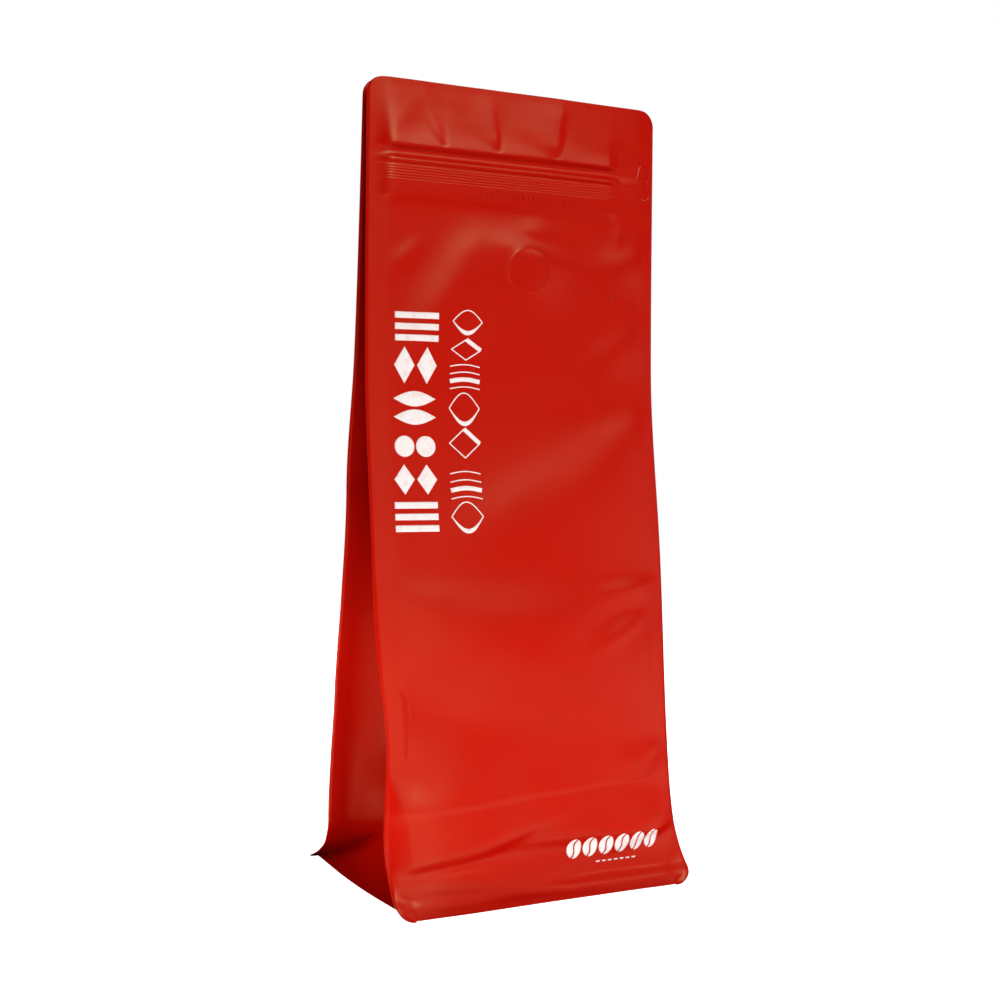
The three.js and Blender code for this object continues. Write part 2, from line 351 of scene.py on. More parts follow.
# Soft boxes and glowing boards: (name, place, what it faces, size, watts, whether it shows in the sheen)
LIGHTS = (
    ("high soft box", (0.05, -1.05, 1.1), (0, 0, 0.15), (0.5, 0.5), 7.8, True),
    ("high right soft box", (0.6, -0.85, 1.0), (0, 0, 0.15), (0.4, 0.4), 1.1, True),
    ("low front soft box", (-0.1, -0.7, 0.06), (0, 0, 0.1), (0.45, 0.45), 2.8, False),
    ("low right soft box", (0.62, -0.45, 0.06), (0, 0, 0.12), (0.4, 0.4), 1.7, False),
    ("left soft box", (-1.4, 0.1, 0.35), (0, 0, 0.1), (0.8, 0.8), 6.3, False),
    ("right soft box", (1.4, 0.1, 0.35), (0, 0, 0.1), (0.8, 0.8), 6.3, False),
    ("high back soft box", (0.1, 1.05, 1.1), (0, 0, 0.15), (0.5, 0.5), 8.0, True),
    ("low back soft box", (0.1, 0.9, 0.06), (0, 0, 0.1), (0.45, 0.45), 4.0, False),
    ("left board", (-0.18, 0.02, 0.001), (-0.18, 0.02, 1), (0.1, 0.25), 0.62, False),
    ("front board", (0, -0.15, 0.001), (0, -0.15, 1), (0.3, 0.12), 0.24, False),
)
FLOOR_GLOW = 1.1  # keeps the floor as pale as the backdrop
FLOOR_HALF = 4.0  # metres

# ---------------------------------------------------------------- mesh steps

# Rows of a film: (height, step up to the next)
ROWS = (
    (0, 0.3),
    (2, 0.6),
    (20, 0.8),
    (56, 1.5),
    (284, 0.9),
    (296, 0.6),
    (302, 0.26),
    (310, 0.38),
    (320, 0.9),
    (338, 0.5),
    (343, 0.25),
    (HEIGHT, 0),
)
FIN_STEPS, FACE_STEPS, BACK_STEPS, LEAF_STEPS, FLAP_STEPS, BASE_STEPS = 5, 120, 60, 20, 8, 64


def through(stations):
    """A curve through (height, value) stations that doesn't overshoot between them."""
    at, value = np.array(stations, float).T
    step = np.diff(at)
    slope = np.diff(value) / step
    before, after = slope[:-1], slope[1:]
    same = before * after > 0
    inner = np.where(same, 2 * before * after / np.where(same, before + after, 1), 0)
    tangent = np.concatenate(([slope[0]], inner, [slope[-1]]))

    def curve(z):
        i = np.clip(np.searchsorted(at, z, side="left") - 1, 0, len(step) - 1)
        t = np.clip((z - at[i]) / step[i], 0, 1)
        left = value[i] * (1 + 2 * t) * (1 - t) ** 2 + tangent[i] * step[i] * t * (1 - t) ** 2
        return left + value[i + 1] * t * t * (3 - 2 * t) + tangent[i + 1] * step[i] * t * t * (t - 1)

    return curve


def smooth(value, low, high):
    t = np.clip((value - low) / (high - low), 0, 1)
    return t * t * (3 - 2 * t)


def bell(distance, spread):
    return np.exp(-((distance / spread) ** 2))


def hump(z, size):
    depth, height, spread = size
    return depth * bell(z - height, spread)


def lerp(a, b, t):
    return a + (b - a) * t


front_seam = through(FRONT_SEAM)
back_seam = through(BACK_SEAM)
zip_profile = through(ZIP_PROFILE)


def fin_sweep(z):
    return lerp(FIN_SWEEP_FOOT, FIN_SWEEP_ABOVE, smooth(z, 0, FIN_SWEEP_SETTLES))


def fin_reach(z):
    """How far a fin reaches past its seam: its corners are round at the top and the foot."""
    from_top = np.maximum(0, TOP_CORNER - (HEIGHT - z))
    from_foot = np.maximum(0, FOOT_CORNER - z)
    top_cut = TOP_CORNER - np.sqrt(TOP_CORNER**2 - from_top**2)
    foot_cut = FOOT_CORNER - np.sqrt(FOOT_CORNER**2 - from_foot**2)
    return FIN - top_cut - foot_cut


def seams(z):
    """The seams' places across the front: front left, back left and right."""
    pinch, shift = hump(z, LEFT_PINCH), hump(z, FOOT_SHIFT)
    return -SEAM + pinch + shift, -SEAM + pinch / 2 + shift, SEAM + shift


def slack(x, z, places):
    total = np.zeros(np.broadcast(x, z).shape)
    for px, pz, long, above, below, turn, rise in places:
        c, s = math.cos(math.radians(turn)), math.sin(math.radians(turn))
        dx, dz = x - px, z - pz
        across = dz * c - dx * s
        total = total + rise * bell(dx * c + dz * s, long) * bell(across, np.where(across > 0, above, below))
    return total * bpy.context.scene.pouch_sizes.slack


def belly(x, z):
    total = np.zeros(np.broadcast(x, z).shape)
    for (middle_x, middle_z), right, left, up, below, rise in BELLIES:
        across = (x - middle_x) / np.where(x > middle_x, right, left)
        inside = 1 - np.sqrt(across**2 + (np.maximum(z - middle_z, 0) / up) ** 2 + BELLY_TOP**2)
        ramp = (inside + np.hypot(inside, BELLY_EDGE)) / 2
        total = total + rise * ramp * bell(np.minimum(z - middle_z, 0), below)
    return total * bpy.context.scene.pouch_sizes.slack


def pleats(x, z):
    """Each pleat climbs slowly on its left and falls quickly on its right, over a point with two hollows."""
    up = z - PLEAT_FOOT
    above = np.maximum(up, 0)
    spread = PLEAT_SPREADS * above
    fade = smooth(up, -0.5, 6) * bell(np.maximum(up - PLEAT_FULL, 0), PLEAT_REACH)
    fade = fade * (1 - PLEAT_CALMS * smooth(z, PLEAT_CALMS_FROM, HEIGHT))
    total = np.zeros(np.broadcast(x, z).shape)
    for place, lean, width, rise in PLEATS:
        off = x - place - lean * above
        left = width * lerp(PLEAT_NARROW, 1, smooth(up, 0, PLEAT_WIDENS))
        total = total + rise * bell(off, np.where(off < 0, left, PLEAT_STEEP + spread)) * fade
        for turn, depth in PLEAT_LEGS:
            leg = bell(off - turn * above - math.copysign(LEG_APART, turn), LEG_WIDE + spread)
            total = total - depth * leg * smooth(up, -1, 1) * np.exp(-above / LEG_FADES)
    return total


def base_crease(x, z):
    """The film bellies out over the crease, tucks in at it and comes slowly forward again under it."""
    over = z - lerp(BASE_CREASE_LEFT, BASE_CREASE_RIGHT, (x + SEAM) / (2 * SEAM))
    tuck = 1 - 2 * smooth(-over, 0, BASE_CREASE_FALL)
    below = tuck * bell(over + BASE_CREASE_FALL, BASE_CREASE_BELOW)
    return BASE_CREASE_STEP / 2 * np.where(over > 0, bell(over, BASE_CREASE_ABOVE), below)


def weld_step(x, left, right, width):
    """From 0 at the flat welds to 1 where the film is free."""
    return 1 - np.exp(-np.maximum(np.minimum(x - left, right - x), 0) / width)


def zip_relief(x, z):
    starts, ends = ZIP_FADES_LEFT
    fade = smooth(x, ZIP_LEFT + starts, ZIP_LEFT + ends) * smooth(ZIP_RIGHT - x, 0, ZIP_FADES_RIGHT)
    ribs = RIB_RISE * np.cos(2 * math.pi * (z - RIB_FOOT) / RIB_PITCH) * (z > RIB_FOOT) * (z < RIB_TOP)
    return (zip_profile(z) + ribs) * lerp(ZIP_IN_FIN, 1, fade)


def bulge(x, z, size):
    return hump(z, size) * (1 - np.clip(x / SEAM, -1, 1) ** 2) * smooth(z, 0, BULGE_STARTS)


def past_seam(x, left, right):
    """0 between the seams, 1 at a fin's full width."""
    return np.maximum(0, np.maximum(left - x, x - right)) / FIN


def front_film(x, z):
    """Place of the front film's outer face, fins included."""
    left, _, right = seams(z)
    edge = past_seam(x, left, right)
    loose = (slack(x, z, FRONT_SLACK) + belly(x, z)) * weld_step(x, left - FIN, right + FIN, SLACK_STARTS)
    loose = loose + (SEAM_PUFF + base_crease(x, z)) * weld_step(x, left, right, SEAM_PUFF_WIDTH)
    relief = (zip_relief(x, z) + pleats(x, z)) * smooth(1 - edge, FIN_FLAT, 1) + loose
    return front_seam(z) - fin_sweep(z) * (1 - edge) - bulge(x, z, FRONT_BULGE) - relief


def back_film(x, z):
    """Place of the back film's outer face, fins included."""
    _, left, right = seams(z)
    edge = past_seam(x, left, right)
    gap = back_seam(z) - front_seam(z) + fin_sweep(z)
    apart = np.maximum(0, (np.abs(np.clip(x / SEAM, -1, 1)) - SHUT_MIDDLE) / (1 - SHUT_MIDDLE))
    shut = smooth(z, SHUTS_FROM, HEIGHT) * (gap - SHUT_APART) * (1 - apart)
    loose = slack(x, z, BACK_SLACK) * weld_step(x, left, right, SLACK_STARTS)
    loose = loose + (SEAM_PUFF + base_crease(-x, z)) * weld_step(x, left, right, SEAM_PUFF_WIDTH)
    relief = zip_relief(-x, z) * smooth(1 - edge, FIN_FLAT, 1) + loose
    relief = relief * (1 - smooth(z, BACK_CALMS_FROM, HEIGHT))
    return back_seam(z) - shut + bulge(x, z, BACK_BULGE) + relief


def slant(line, z):
    """How much a film that leans is stretched in a level section."""
    rise = (line(z + 0.5) - line(np.maximum(z - 0.5, 0))) / np.where(z < 0.5, 0.5 + z, 1)
    return np.minimum(4, np.hypot(1, rise))


def rows():
    """Heights of a film's rows."""
    heights = []
    for (start, step), (end, _) in zip(ROWS, ROWS[1:]):
        heights.extend(np.linspace(start, end, max(1, round((end - start) / step)), endpoint=False))
    return np.array([*heights, HEIGHT])


def face_grid(left, right, z, film, steps):
    """Points of a face, row by row, from the edge of one fin to the edge of the other."""
    reach = fin_reach(z)
    t, s = np.linspace(0, 1, FIN_STEPS + 1)[:-1], np.linspace(0, 1, steps + 1)
    x = np.hstack(
        [
            left[:, None] - reach[:, None] * (1 - t),
            left[:, None] + (right - left)[:, None] * s,
            right[:, None] + reach[:, None] * (1 - t[::-1]),
        ]
    )
    z = np.broadcast_to(z[:, None], x.shape)
    return np.stack([x, film(x, z), z], axis=-1)


def gusset_grid(side, z):
    """Points of a gusset's outer face, row by row, from the front fin's edge to the back fin's."""
    sizes = bpy.context.scene.pouch_sizes
    front_left, back_left, right = seams(z)
    front_edge, back_edge = (front_left, back_left) if side < 0 else (right, right)
    behind = sizes.film / MM * BEHIND_FACE
    front = front_seam(z) - fin_sweep(z) + behind * slant(front_seam, z)
    back = back_seam(z) - behind * slant(back_seam, z)
    half = np.minimum(GUSSET / 2, (back - front) / 2)
    leaf = np.sqrt((GUSSET / 2) ** 2 - half**2)
    opening = lerp(APEX_DEPTH, leaf, smooth(z, APEX_HEIGHT, APEX_HEIGHT + APEX_BLEND))
    flap = APEX_DEPTH * z / APEX_HEIGHT
    depth = np.minimum(opening, flap)
    middle_edge = (front_edge + back_edge) / 2
    fold_x = middle_edge - side * depth
    settled = (front_film(fold_x, z) + back_film(fold_x, z)) / 2
    split = APEX_Y * np.minimum(z, APEX_HEIGHT) / APEX_HEIGHT
    fold = lerp(split, settled, smooth(z, APEX_HEIGHT, FOLD_SETTLES))
    weld_foot, weld_top, least, growth = CORNER_WELD
    held_back = np.clip((z - weld_foot) / (weld_top - weld_foot), least, 1) ** growth
    crease = np.clip(flap / opening * held_back, NEAREST_CREASE, FURTHEST_CREASE)
    bow = BASE_EDGE_BOW * np.maximum(0, 1 - z / APEX_HEIGHT) if side < 0 else 0 * z
    part = np.hstack(
        [
            crease[:, None] * np.linspace(0, 1, LEAF_STEPS + 1) ** LEAF_CROWDING,
            lerp(crease[:, None], 1, np.linspace(0, 1, FLAP_STEPS + 1)[1:]),
        ]
    )
    inward = depth[:, None] * np.minimum(part / np.maximum(depth / opening * held_back, 1e-6)[:, None], 1)
    held = smooth(part, crease[:, None], 1) * bow[:, None]

    def leaf_points(edge, line):
        x = edge[:, None] * (1 - part) + middle_edge[:, None] * part - side * inward - held
        return x, lerp(line[:, None], fold[:, None], part**LEAF_CURVE)

    def fin_points(edge, line, swept):
        t = np.linspace(1, 0, FIN_STEPS + 1)[:-1]
        x = edge[:, None] + side * fin_reach(z)[:, None] * t
        return x, line[:, None] + swept[:, None] * t

    parts = [
        fin_points(front_edge, front, fin_sweep(z)),
        leaf_points(front_edge, front),
        tuple(p[:, -2::-1] for p in leaf_points(back_edge, back)),
        tuple(p[:, ::-1] for p in fin_points(back_edge, back, 0 * z)),
    ]
    x, y = np.hstack([p[0] for p in parts]), np.hstack([p[1] for p in parts])
    return np.stack([x, y, np.broadcast_to(z[:, None], x.shape)], axis=-1)


def base_grid():
    """The base film: a little above the floor between the foot welds, with the fold across its middle."""
    front, back = FRONT_SEAM[0][1], BACK_SEAM[0][1]
    from_front, from_back = BASE_INSET
    across = np.linspace(-SEAM, SEAM, BASE_STEPS)
    x, t = np.meshgrid(across + FOOT_SHIFT[0], np.linspace(0, 1, BASE_STEPS))
    y = lerp(front + from_front, back - from_back, t)
    inside = np.minimum(np.minimum(t, 1 - t) * (back - front), SEAM - np.abs(x - FOOT_SHIFT[0]))
    fold = BASE_FOLD_RISE * bell(y, BASE_FOLD_WIDE) * (1 - np.exp(-inside / BASE_FOLD_FADES))
    z = BASE_FOOT + BASE_LIFT * (1 - np.exp(-inside / BASE_LIFT_WIDTH)) + fold
    return np.stack([x, y, z], axis=-1)


# ---------------------------------------------------------------- printed shapes, as outlines in (x, z)


def arc(centre, radii, start, end, steps=24):
    angle = np.radians(np.linspace(start, end, steps + 1))
    return np.stack([centre[0] + radii[0] * np.cos(angle), centre[1] + radii[1] * np.sin(angle)], axis=-1)


def bar(start, end, width):
    """A straight stroke with square ends."""
    start, end = np.array(start, float), np.array(end, float)
    along = (end - start) / np.linalg.norm(end - start)
    side = np.array([-along[1], along[0]]) * width / 2
    return np.array([start - side, end - side, end + side, start + side])


def stroke(path, widths):
    """A stroke along a path, as wide as `widths` says at each point of it."""
    along = np.gradient(path, axis=0)
    side = np.stack([-along[:, 1], along[:, 0]], axis=-1) / np.linalg.norm(along, axis=1)[:, None]
    half = side * np.broadcast_to(widths, len(path))[:, None] / 2
    return np.concatenate([path - half, (path + half)[::-1]])


def leaf_edge(left, right, middle, height, steps=24):
    """One side of a leaf that points left and right."""
    t = np.linspace(0, 1, steps + 1)
    return np.stack([lerp(left, right, t), middle + height * np.sin(np.pi * t)], axis=-1)


def diamond(left, low, right, high):
    middle_x, middle_z = (left + right) / 2, (low + high) / 2
    return np.array([(left, middle_z), (middle_x, low), (right, middle_z), (middle_x, high)])


def bold_shapes(kind, left, low, right, high):
    """Solid shapes that fill one cell of the bold column."""
    wide, tall, middle = right - left, high - low, (low + high) / 2
    if kind == "slats":
        heights = [low + tall * t for t in SLATS_AT]
        return [bar((left, z), (right, z), tall * SLAT_HIGH) for z in heights]
    if kind == "leaves":
        half, heights = tall * LEAF_HALF, [low + tall * t for t in PAIR_AT]
        sides = [(leaf_edge(left, right, z, -half), leaf_edge(left, right, z, half)) for z in heights]
        return [np.concatenate([under[:-1], over[:0:-1]]) for under, over in sides]
    if kind == "discs":
        radius = min(wide * DISC_HALF[0], tall * DISC_HALF[1])
        return [arc((left + wide * t, middle), (radius, radius), 0, 360, 40)[:-1] for t in PAIR_AT]
    inner = wide * DIAMOND_WIDE
    return [diamond(left, low, left + inner, high), diamond(right - inner, low, right, high)]


def fine_shapes(kind, left, low, right, high):
    """Outlines with one heavy side that fill one cell of the fine column."""
    middle, tall = (low + high) / 2, high - low
    if kind == "diamond":
        corners = diamond(left, low, right, high)
        widths = (HAIRLINE, HAIRLINE, HEAVY_LINE, HAIRLINE)
        return [bar(a, b, w) for a, b, w in zip(corners, np.roll(corners, -1, axis=0), widths)]
    if kind == "strands":
        widths = (HAIRLINE, HEAVY_LINE, HAIRLINE, HAIRLINE)
        heights = np.linspace(low, high, len(widths))
        return [stroke(leaf_edge(left, right, z, tall * STRAND_BOW), w) for z, w in zip(heights, widths)]
    over, under = (leaf_edge(left, right, middle, side * tall / 2) for side in (1, -1))
    swell = HAIRLINE + (HEAVY_LINE - HAIRLINE) * np.sin(np.pi * np.linspace(0, 1, len(under))) ** 2
    return [stroke(over, HAIRLINE), stroke(under, swell)]


def seed(centre, wide, tall):
    """A slanting seed: two halves on either side of a bent slit."""
    turn = math.radians(SEED_TURN)
    t = np.linspace(0, 1, 25)
    slit = np.stack([np.sin(2 * np.pi * t) * wide * 0.1, (t - 0.5) * tall], axis=-1)
    halves = []
    for side in (-1, 1):
        rim = arc((0, 0), (side * wide / 2, tall / 2), 90, -90)
        edge = slit + (side * SEED_SLIT / 2, 0)
        edge = edge[np.abs(edge[:, 1]) < tall * 0.47]
        halves.append(np.concatenate([rim[1:-1], edge]))
    c, s = math.cos(turn), math.sin(turn)
    return [half @ np.array([[c, -s], [s, c]]) + centre for half in halves]


def column(cells, shapes, left, width, lean):
    """The outlines of a column of cells that leans a little."""
    foot = cells[-1][0]
    outlines = []
    for low, high, kind in cells:
        start = left + (low - foot) * lean
        outlines += shapes(kind, start, low, start + width, high)
    return outlines


def seed_row():
    outlines = []
    for i in range(SEEDS):
        x = SEED_LEFT + i * SEED_PITCH
        outlines += seed((x, SEED_FOOT + SEED_CLIMB * (x - SEED_LEFT)), SEED_WIDE, SEED_HIGH)
    for i in range(DASHES):
        start = DASH_LEFT + i * DASH_PITCH
        outlines.append(bar((start, DASH_Z), (start + DASH_LONG, DASH_Z), DASH_WIDE))
    return outlines


def within(points, outline):
    """Which points lie inside an outline."""
    inside = np.zeros(len(points), bool)
    for (ax, az), (bx, bz) in zip(outline, np.roll(outline, -1, axis=0)):
        spans = (az > points[:, 1]) != (bz > points[:, 1])
        rise = bz - az if bz != az else 1
        inside ^= spans & (points[:, 0] < (bx - ax) * (points[:, 1] - az) / rise + ax)
    return inside


def with_points_between(outline, spacing):
    """The same outline, with no two neighbouring points further apart than the spacing."""
    points = []
    for a, b in zip(outline, np.roll(outline, -1, axis=0)):
        pieces = max(1, math.ceil(math.dist(a, b) / spacing))
        points.extend(lerp(a, b, i / pieces) for i in range(pieces))
    return np.array(points)


def triangles(outlines, spacing):
    """Points and triangles that fill the outlines, fine enough to follow the film."""
    points, edges = [], []
    for outline in outlines:
        outline = with_points_between(outline, spacing)
        start = len(points)
        points += outline.tolist()
        edges += [(start + i, start + (i + 1) % len(outline)) for i in range(len(outline))]
        low, high = outline.min(axis=0), outline.max(axis=0)
        x, z = np.meshgrid(*(np.arange(a + spacing / 2, b, spacing) for a, b in zip(low, high)))
        grid = np.stack([x.ravel(), z.ravel()], axis=-1)
        points += grid[within(grid, outline)].tolist() if len(grid) else []
    made = delaunay_2d_cdt([Vector(p) for p in points], edges, [], 0, 1e-4)
    points, faces = np.array([tuple(p) for p in made[0]]), np.array(made[2])
    centres = points[faces].mean(axis=1)
    kept = np.zeros(len(faces), bool)
    for outline in outlines:
        kept |= within(centres, outline)
    faces = faces[kept]
    used, faces = np.unique(faces, return_inverse=True)
    return points[used], faces.reshape(-1, 3)


# ---------------------------------------------------------------- making pieces and materials


def mesh_piece(name, vertices, faces, *materials):
    """A smooth mesh from points in millimetres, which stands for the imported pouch."""
    mesh = bpy.data.meshes.new(name)
    mesh.from_pydata(((np.asarray(vertices, float) + ORIGIN) * MM).tolist(), [], faces)
    if mesh.validate():
        raise RuntimeError(f"{name} has faces that can't be kept")
    for material in materials:
        mesh.materials.append(material)
    mesh.polygons.foreach_set("use_smooth", [True] * len(mesh.polygons))
    piece = bpy.data.objects.new(name, mesh)
    bpy.context.scene.collection.objects.link(piece)
    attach(piece, "root")
    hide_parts("pouch")
    return piece


def grid_faces(height, width, flip=False, closed=False):
    index = np.arange(height * width).reshape(height, width)
    if closed:
        index = np.hstack([index, index[:, :1]])
    quads = np.stack([index[:-1, :-1], index[:-1, 1:], index[1:, 1:], index[1:, :-1]], axis=-1).reshape(-1, 4)
    return (quads[:, ::-1] if flip else quads).tolist()


def film_sheet(name, grid, flip=False, rim=None):
    """A film from the grid of its outer face, given its thickness inwards and a rim."""
    height, width = grid.shape[:2]
    materials = (matt_film(), rim or matt_film())
    piece = mesh_piece(name, grid.reshape(-1, 3), grid_faces(height, width, flip), *materials)
    laminate = piece.modifiers.new("laminate", "SOLIDIFY")
    laminate.thickness = bpy.context.scene.pouch_sizes.film
    laminate.offset = -1
    laminate.use_even_offset = True
    laminate.material_offset_rim = 1
    return piece


def laid_on(name, outlines, lift, thickness, *materials):
    """A thin layer over the front film, in the shape of the outlines."""
    points, faces = triangles(outlines, PRINT_MESH)
    x, z = points.T
    corner = points[faces]
    a, b = corner[:, 1] - corner[:, 0], corner[:, 2] - corner[:, 0]
    clockwise = a[:, 0] * b[:, 1] - a[:, 1] * b[:, 0] < 0
    faces[clockwise] = faces[clockwise][:, ::-1]
    place = np.stack([x, front_film(x, z) - lift, z], axis=-1)
    piece = mesh_piece(name, place, faces.tolist(), *materials)
    layer = piece.modifiers.new("layer", "SOLIDIFY")
    layer.thickness = thickness * MM
    layer.offset = -1
    return piece


def valve_patch():
    """Rings of points round the valve: the film lifts over the valve's welded rim."""
    radius = bpy.context.scene.pouch_sizes.valve / MM
    rings = np.concatenate([np.linspace(*ring) for ring in VALVE_RINGS])[1:]
    angle = np.linspace(0, 2 * math.pi, VALVE_SIDES, endpoint=False)
    x = VALVE_X + radius * rings[:, None] * np.cos(angle)
    z = VALVE_Z + radius * rings[:, None] * np.sin(angle)
    inner, outer = VALVE_DISH_EDGE
    rim = VALVE_RIM_RISE * bell((rings - 1) * radius, VALVE_RIM_WIDE)
    lift = VALVE_LIFT * smooth(-rings, -VALVE_RIM, -1) + rim - VALVE_DISH * smooth(-rings, -outer, -inner)
    y = front_film(x, z) - CLEAR - lift[:, None]
    middle = front_film(np.array(VALVE_X), np.array(VALVE_Z)) - CLEAR - (VALVE_LIFT - VALVE_DISH)
    centre = np.array([[VALVE_X, middle, VALVE_Z]])
    points = np.concatenate([centre, np.stack([x, y, z], axis=-1).reshape(-1, 3)])
    sides = grid_faces(len(rings), VALVE_SIDES, flip=True, closed=True)
    fan = [(0, 1 + i, 1 + (i + 1) % VALVE_SIDES) for i in range(VALVE_SIDES)]
    return points, fan + [tuple(v + 1 for v in face) for face in sides]


def vent_points():
    """The pricked vents: each is a raised burr round a pit, whose faces are painted dark as the shade inside
    the hole.
    """
    circle = arc((0, 0), (1, 1), 0, 360, VENT_SIDES)[:-1] * VENT_RADIUS
    rings = len(VENT_PROFILE) - 1
    points, faces, pit_shade_faces = [], [], []
    for vx, vz in VENTS:
        start = len(points)
        on_patch = math.dist((vx, vz), (VALVE_X, VALVE_Z)) < bpy.context.scene.pouch_sizes.valve / MM
        base = front_film(np.array(vx), np.array(vz)) - (VENT_ON_PATCH if on_patch else 0)
        points.append((vx, base - VENT_PROFILE[0][1], vz))
        for reach, lift in VENT_PROFILE[1:]:
            points += [(vx + dx * reach, base - lift, vz + dz * reach) for dx, dz in circle]
        faces += [(start, start + 1 + i, start + 1 + (i + 1) % VENT_SIDES) for i in range(VENT_SIDES)]
        pit_shade_faces += [True] * VENT_SIDES
        for ring, face in enumerate(grid_faces(rings, VENT_SIDES, flip=True, closed=True)):
            faces.append(tuple(start + 1 + v for v in face))
            pit_shade_faces.append(ring < VENT_SIDES)
    return points, faces, pit_shade_faces


def smooth_path(points, steps):
    """A curve through the points, with `steps` pieces between each two."""
    at = np.arange(len(points))
    fine = np.linspace(0, len(points) - 1, (len(points) - 1) * steps + 1)
    return np.stack([through(list(zip(at, values)))(fine) for values in np.array(points, float).T], axis=-1)


def lip_points():
    """The raised lip along the tear cut, with the cut itself down its middle."""
    path = smooth_path(TEAR_CUT, CUT_STEPS)
    along = np.gradient(path, axis=0)
    along /= np.linalg.norm(along, axis=1)[:, None]
    side = np.stack([-along[:, 1], along[:, 0]], axis=-1)
    across, lift = np.array(CUT_PROFILE).T * [[CUT_LIP], [CUT_LIFT]]
    place = path[:, None] + side[:, None] * across[:, None]
    x, z = place[..., 0], place[..., 1]
    taper = np.sin(np.pi * np.linspace(0.04, 0.96, len(path)))[:, None] ** 0.3
    y = front_film(x, z) - 0.01 - lift * taper
    return np.stack([x, y, z], axis=-1)


def srgb(text):
    """A colour written as sRGB hex, turned to the linear values that shaders use."""
    parts = [int(text[i : i + 2], 16) / 255 for i in (1, 3, 5)]
    return (*(p / 12.92 if p <= 0.04045 else ((p + 0.055) / 1.055) ** 2.4 for p in parts), 1)


def node(tree, kind, inputs=(), **settings):
    """Adds a node. `inputs` are (input, value) or (input, other node, output of it)."""
    added = tree.nodes.new(kind)
    for key, value in settings.items():
        setattr(added, key, value)
    for key, value, *output in inputs:
        if output:
            tree.links.new(value.outputs[output[0]], added.inputs[key])
        else:
            added.inputs[key].default_value = value
    return added


def new_material(name):
    """An empty material with its node tree, or None for the tree where the material is there already."""
    known = bpy.data.materials.get(name)
    if known:
        return known, None
    material = bpy.data.materials.new(name)
    material.use_nodes = True
    material.node_tree.nodes.clear()
    return material, material.node_tree


def matt_film():
    """Gravure-printed PET film with a matt overprint lacquer, which spreads the lights into wide pale sheens.

    The ink lies a little uneven over some 25 mm. The real lacquer's grain of about 0.02 mm is too fine to
    show, and is drawn at 0.7 mm.
    """
    material, tree = new_material("matt lacquered PET film")
    if tree is None:
        return material
    colours = bpy.context.scene.pouch_colours
    place = node(tree, "ShaderNodeTexCoord")
    ink = node(tree, "ShaderNodeTexNoise", [("Vector", place, "Object"), ("Scale", 40.0), ("Detail", 3.0)])
    mottle = node(tree, "ShaderNodeMapRange", [("Value", ink, "Fac"), ("From Min", 0.35), ("From Max", 0.65)])
    colour = node(
        tree,
        "ShaderNodeMix",
        [("Factor", mottle, "Result"), ("A", colours.ink_deep), ("B", colours.ink)],
        data_type="RGBA",
    )
    grained = [("Vector", place, "Object"), ("Scale", 1400.0), ("Detail", 2.0)]
    grain = node(tree, "ShaderNodeTexNoise", grained)
    bump = node(tree, "ShaderNodeBump", [("Strength", 0.12), ("Distance", 0.0001), ("Height", grain, "Fac")])
    shader = node(
        tree,
        "ShaderNodeBsdfPrincipled",
        [
            ("Base Color", colour, "Result"),
            ("Roughness", 0.36),
            ("IOR", 1.5),
            ("Specular IOR Level", 0.42),
            ("Specular Tint", (1.0, 1.0, 0.5, 1.0)),
            ("Normal", bump, "Normal"),
        ],
    )
    node(tree, "ShaderNodeOutputMaterial", [("Surface", shader, "BSDF")])
    return material


def cut_edge():
    """The knife-cut edge of the laminate, where the unprinted white core shows as a pale line.

    The knife smears the ink over it here and there, in patches of 1 to 2 mm.
    """
    material, tree = new_material("cut laminate edge")
    if tree is None:
        return material
    place = node(tree, "ShaderNodeTexCoord")
    fray = node(tree, "ShaderNodeTexNoise", [("Vector", place, "Object"), ("Scale", 600.0), ("Detail", 2.0)])
    colours = bpy.context.scene.pouch_colours
    colour = node(
        tree,
        "ShaderNodeMix",
        [("Factor", fray, "Fac"), ("A", colours.ink), ("B", colours.core)],
        data_type="RGBA",
    )
    shader = node(
        tree,
        "ShaderNodeBsdfPrincipled",
        [("Base Color", colour, "Result"), ("Roughness", 0.5), ("IOR", 1.5)],
    )
    node(tree, "ShaderNodeOutputMaterial", [("Surface", shader, "BSDF")])
    return material


def white_ink():
    """White gravure ink under the same matt lacquer: opaque, with a sheen no stronger than the film's.

    It lies a little thin in patches of about 3 mm, where the red shows through.
    """
    material, tree = new_material("white gravure ink")
    if tree is None:
        return material
    colours = bpy.context.scene.pouch_colours
    place = node(tree, "ShaderNodeTexCoord")
    lay = node(tree, "ShaderNodeTexNoise", [("Vector", place, "Object"), ("Scale", 350.0), ("Detail", 3.0)])
    cover = node(tree, "ShaderNodeMapRange", [("Value", lay, "Fac"), ("From Min", 0.3), ("From Max", 0.5)])
    colour = node(
        tree,
        "ShaderNodeMix",
        [("Factor", cover, "Result"), ("A", colours.white_thin), ("B", colours.white)],
        data_type="RGBA",
    )
    shader = node(
        tree,
        "ShaderNodeBsdfPrincipled",
        [("Base Color", colour, "Result"), ("Roughness", 0.45), ("IOR", 1.5), ("Specular IOR Level", 0.2)],
    )
    node(tree, "ShaderNodeOutputMaterial", [("Surface", shader, "BSDF")])
    return material


